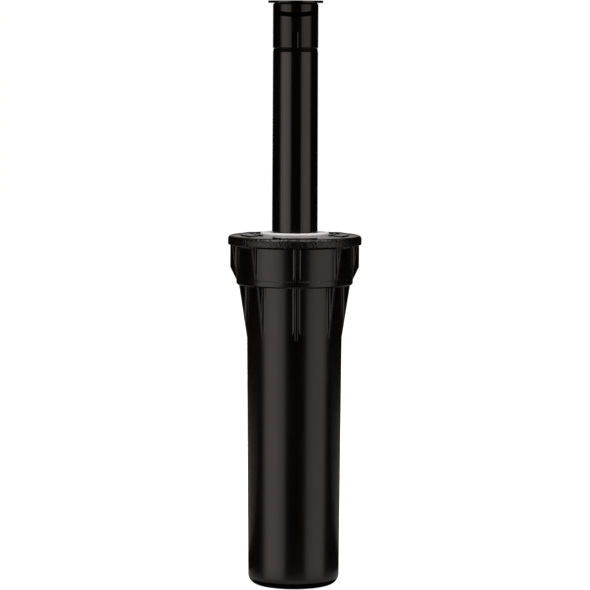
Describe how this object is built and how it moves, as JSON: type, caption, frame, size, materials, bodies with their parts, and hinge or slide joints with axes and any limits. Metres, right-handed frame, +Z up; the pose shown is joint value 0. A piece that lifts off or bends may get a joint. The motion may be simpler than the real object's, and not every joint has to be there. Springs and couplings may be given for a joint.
{
  "type": "pop up sprinkler",
  "caption": "Pop-up spray sprinkler: ribbed screw cap on a round canister with a threaded inlet below, wiper seal, spring-returned riser and a flush cap with a curved port.",
  "frame": {"origin": "centre of the case's base, on the plane it stands on", "axes": "+Z up along the riser, -Y towards the flush cap's port, ribs on X and Y and halfway between"},
  "size_m": [0.0578, 0.0578, 0.2533],
  "materials": {
    "case_plastic": "satin moulded black",
    "cap_plastic": "satin moulded black, fine pebble on the flange",
    "seal_rubber": "smooth off-white elastomer",
    "support_plastic": "moulded dark grey",
    "spring_steel": "drawn stainless wire",
    "ratchet_plastic": "moulded natural acetal",
    "riser_plastic": "polished moulded black",
    "base_plastic": "moulded black",
    "valve_rubber": "smooth black rubber",
    "retainer_plastic": "moulded black",
    "screen_plastic": "moulded dark grey",
    "mesh_steel": "woven stainless mesh",
    "flush_plastic": "polished moulded black"
  },
  "bodies": {
    "case": {"case": "case_plastic"},
    "seal_stack": {"wiper_seal": "seal_rubber", "seal_support_ring": "support_plastic", "retraction_spring": "spring_steel"},
    "cap": {"body_cap": "cap_plastic"},
    "ratchet": {"ratchet_ring": "ratchet_plastic"},
    "riser": {"riser_tube": "riser_plastic", "riser_base": "base_plastic", "valve_seal": "valve_rubber", "valve_retainer": "retainer_plastic"},
    "screen": {"filter_screen": "screen_plastic", "screen_mesh": "mesh_steel"},
    "flush": {"flush_cap": "flush_plastic"}
  },
  "joints": [
    {"name": "cap_rise", "type": "slide", "parent": "case", "child": "seal_stack", "axis": [0, 0, 1], "range_m": [0, 0.01]},
    {"name": "cap_turn", "type": "hinge", "parent": "seal_stack", "child": "cap", "pos_m": [0, 0, 0.14], "axis": [0, 0, 1], "range_deg": [0, 900]},
    {"name": "riser_slide", "type": "slide", "parent": "seal_stack", "child": "ratchet", "axis": [0, 0, 1], "range_m": [-0.09865, 0], "deforming": ["retraction_spring"]},
    {"name": "riser_turn", "type": "hinge", "parent": "ratchet", "child": "riser", "pos_m": [0, 0, 0.12], "axis": [0, 0, 1], "continuous": true},
    {"name": "flush_rise", "type": "slide", "parent": "riser", "child": "screen", "axis": [0, 0, 1], "range_m": [0, 0.00753]},
    {"name": "flush_turn", "type": "hinge", "parent": "screen", "child": "flush", "pos_m": [0, 0, 0.24], "axis": [0, 0, 1], "range_deg": [0, 2880]}
  ],
  "couplings": [
    {"joint": "cap_rise", "follows": "cap_turn", "m_per_rad": 0.00063662},
    {"joint": "flush_rise", "follows": "flush_turn", "m_per_rad": 0.00014972}
  ]
}
